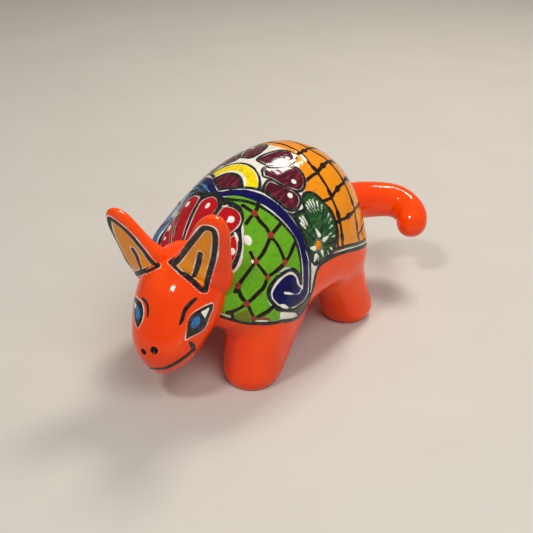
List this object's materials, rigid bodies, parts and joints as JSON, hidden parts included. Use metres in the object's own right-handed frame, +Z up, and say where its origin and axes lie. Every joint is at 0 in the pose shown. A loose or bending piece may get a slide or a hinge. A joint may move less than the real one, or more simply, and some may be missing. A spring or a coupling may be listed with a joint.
{
  "type": "ceramic armadillo figure",
  "caption": "Hollow glazed ceramic armadillo with a painted flower shell, upright ears and a curled tail, standing on flat feet.",
  "frame": {"origin": "on the surface it stands on, under the middle of its overall box", "axes": "+Z up; the animal faces -Y and its tail points to +Y; its left side is +X"},
  "size_m": [0.0749, 0.173, 0.084],
  "materials": {
    "painted_glaze": "majolica enamel painted in navy, green, crimson, maroon, amber and yellow between charcoal lines",
    "orange_glaze": "glossy orange enamel"
  },
  "bodies": {
    "root": {"body_left_half": "painted_glaze", "body_right_half": "painted_glaze", "head": "orange_glaze", "ear_left": "orange_glaze", "ear_right": "orange_glaze", "leg_front_left": "orange_glaze", "leg_front_right": "orange_glaze", "leg_rear_left": "orange_glaze", "leg_rear_right": "orange_glaze", "tail": "orange_glaze"}
  },
  "joints": []
}
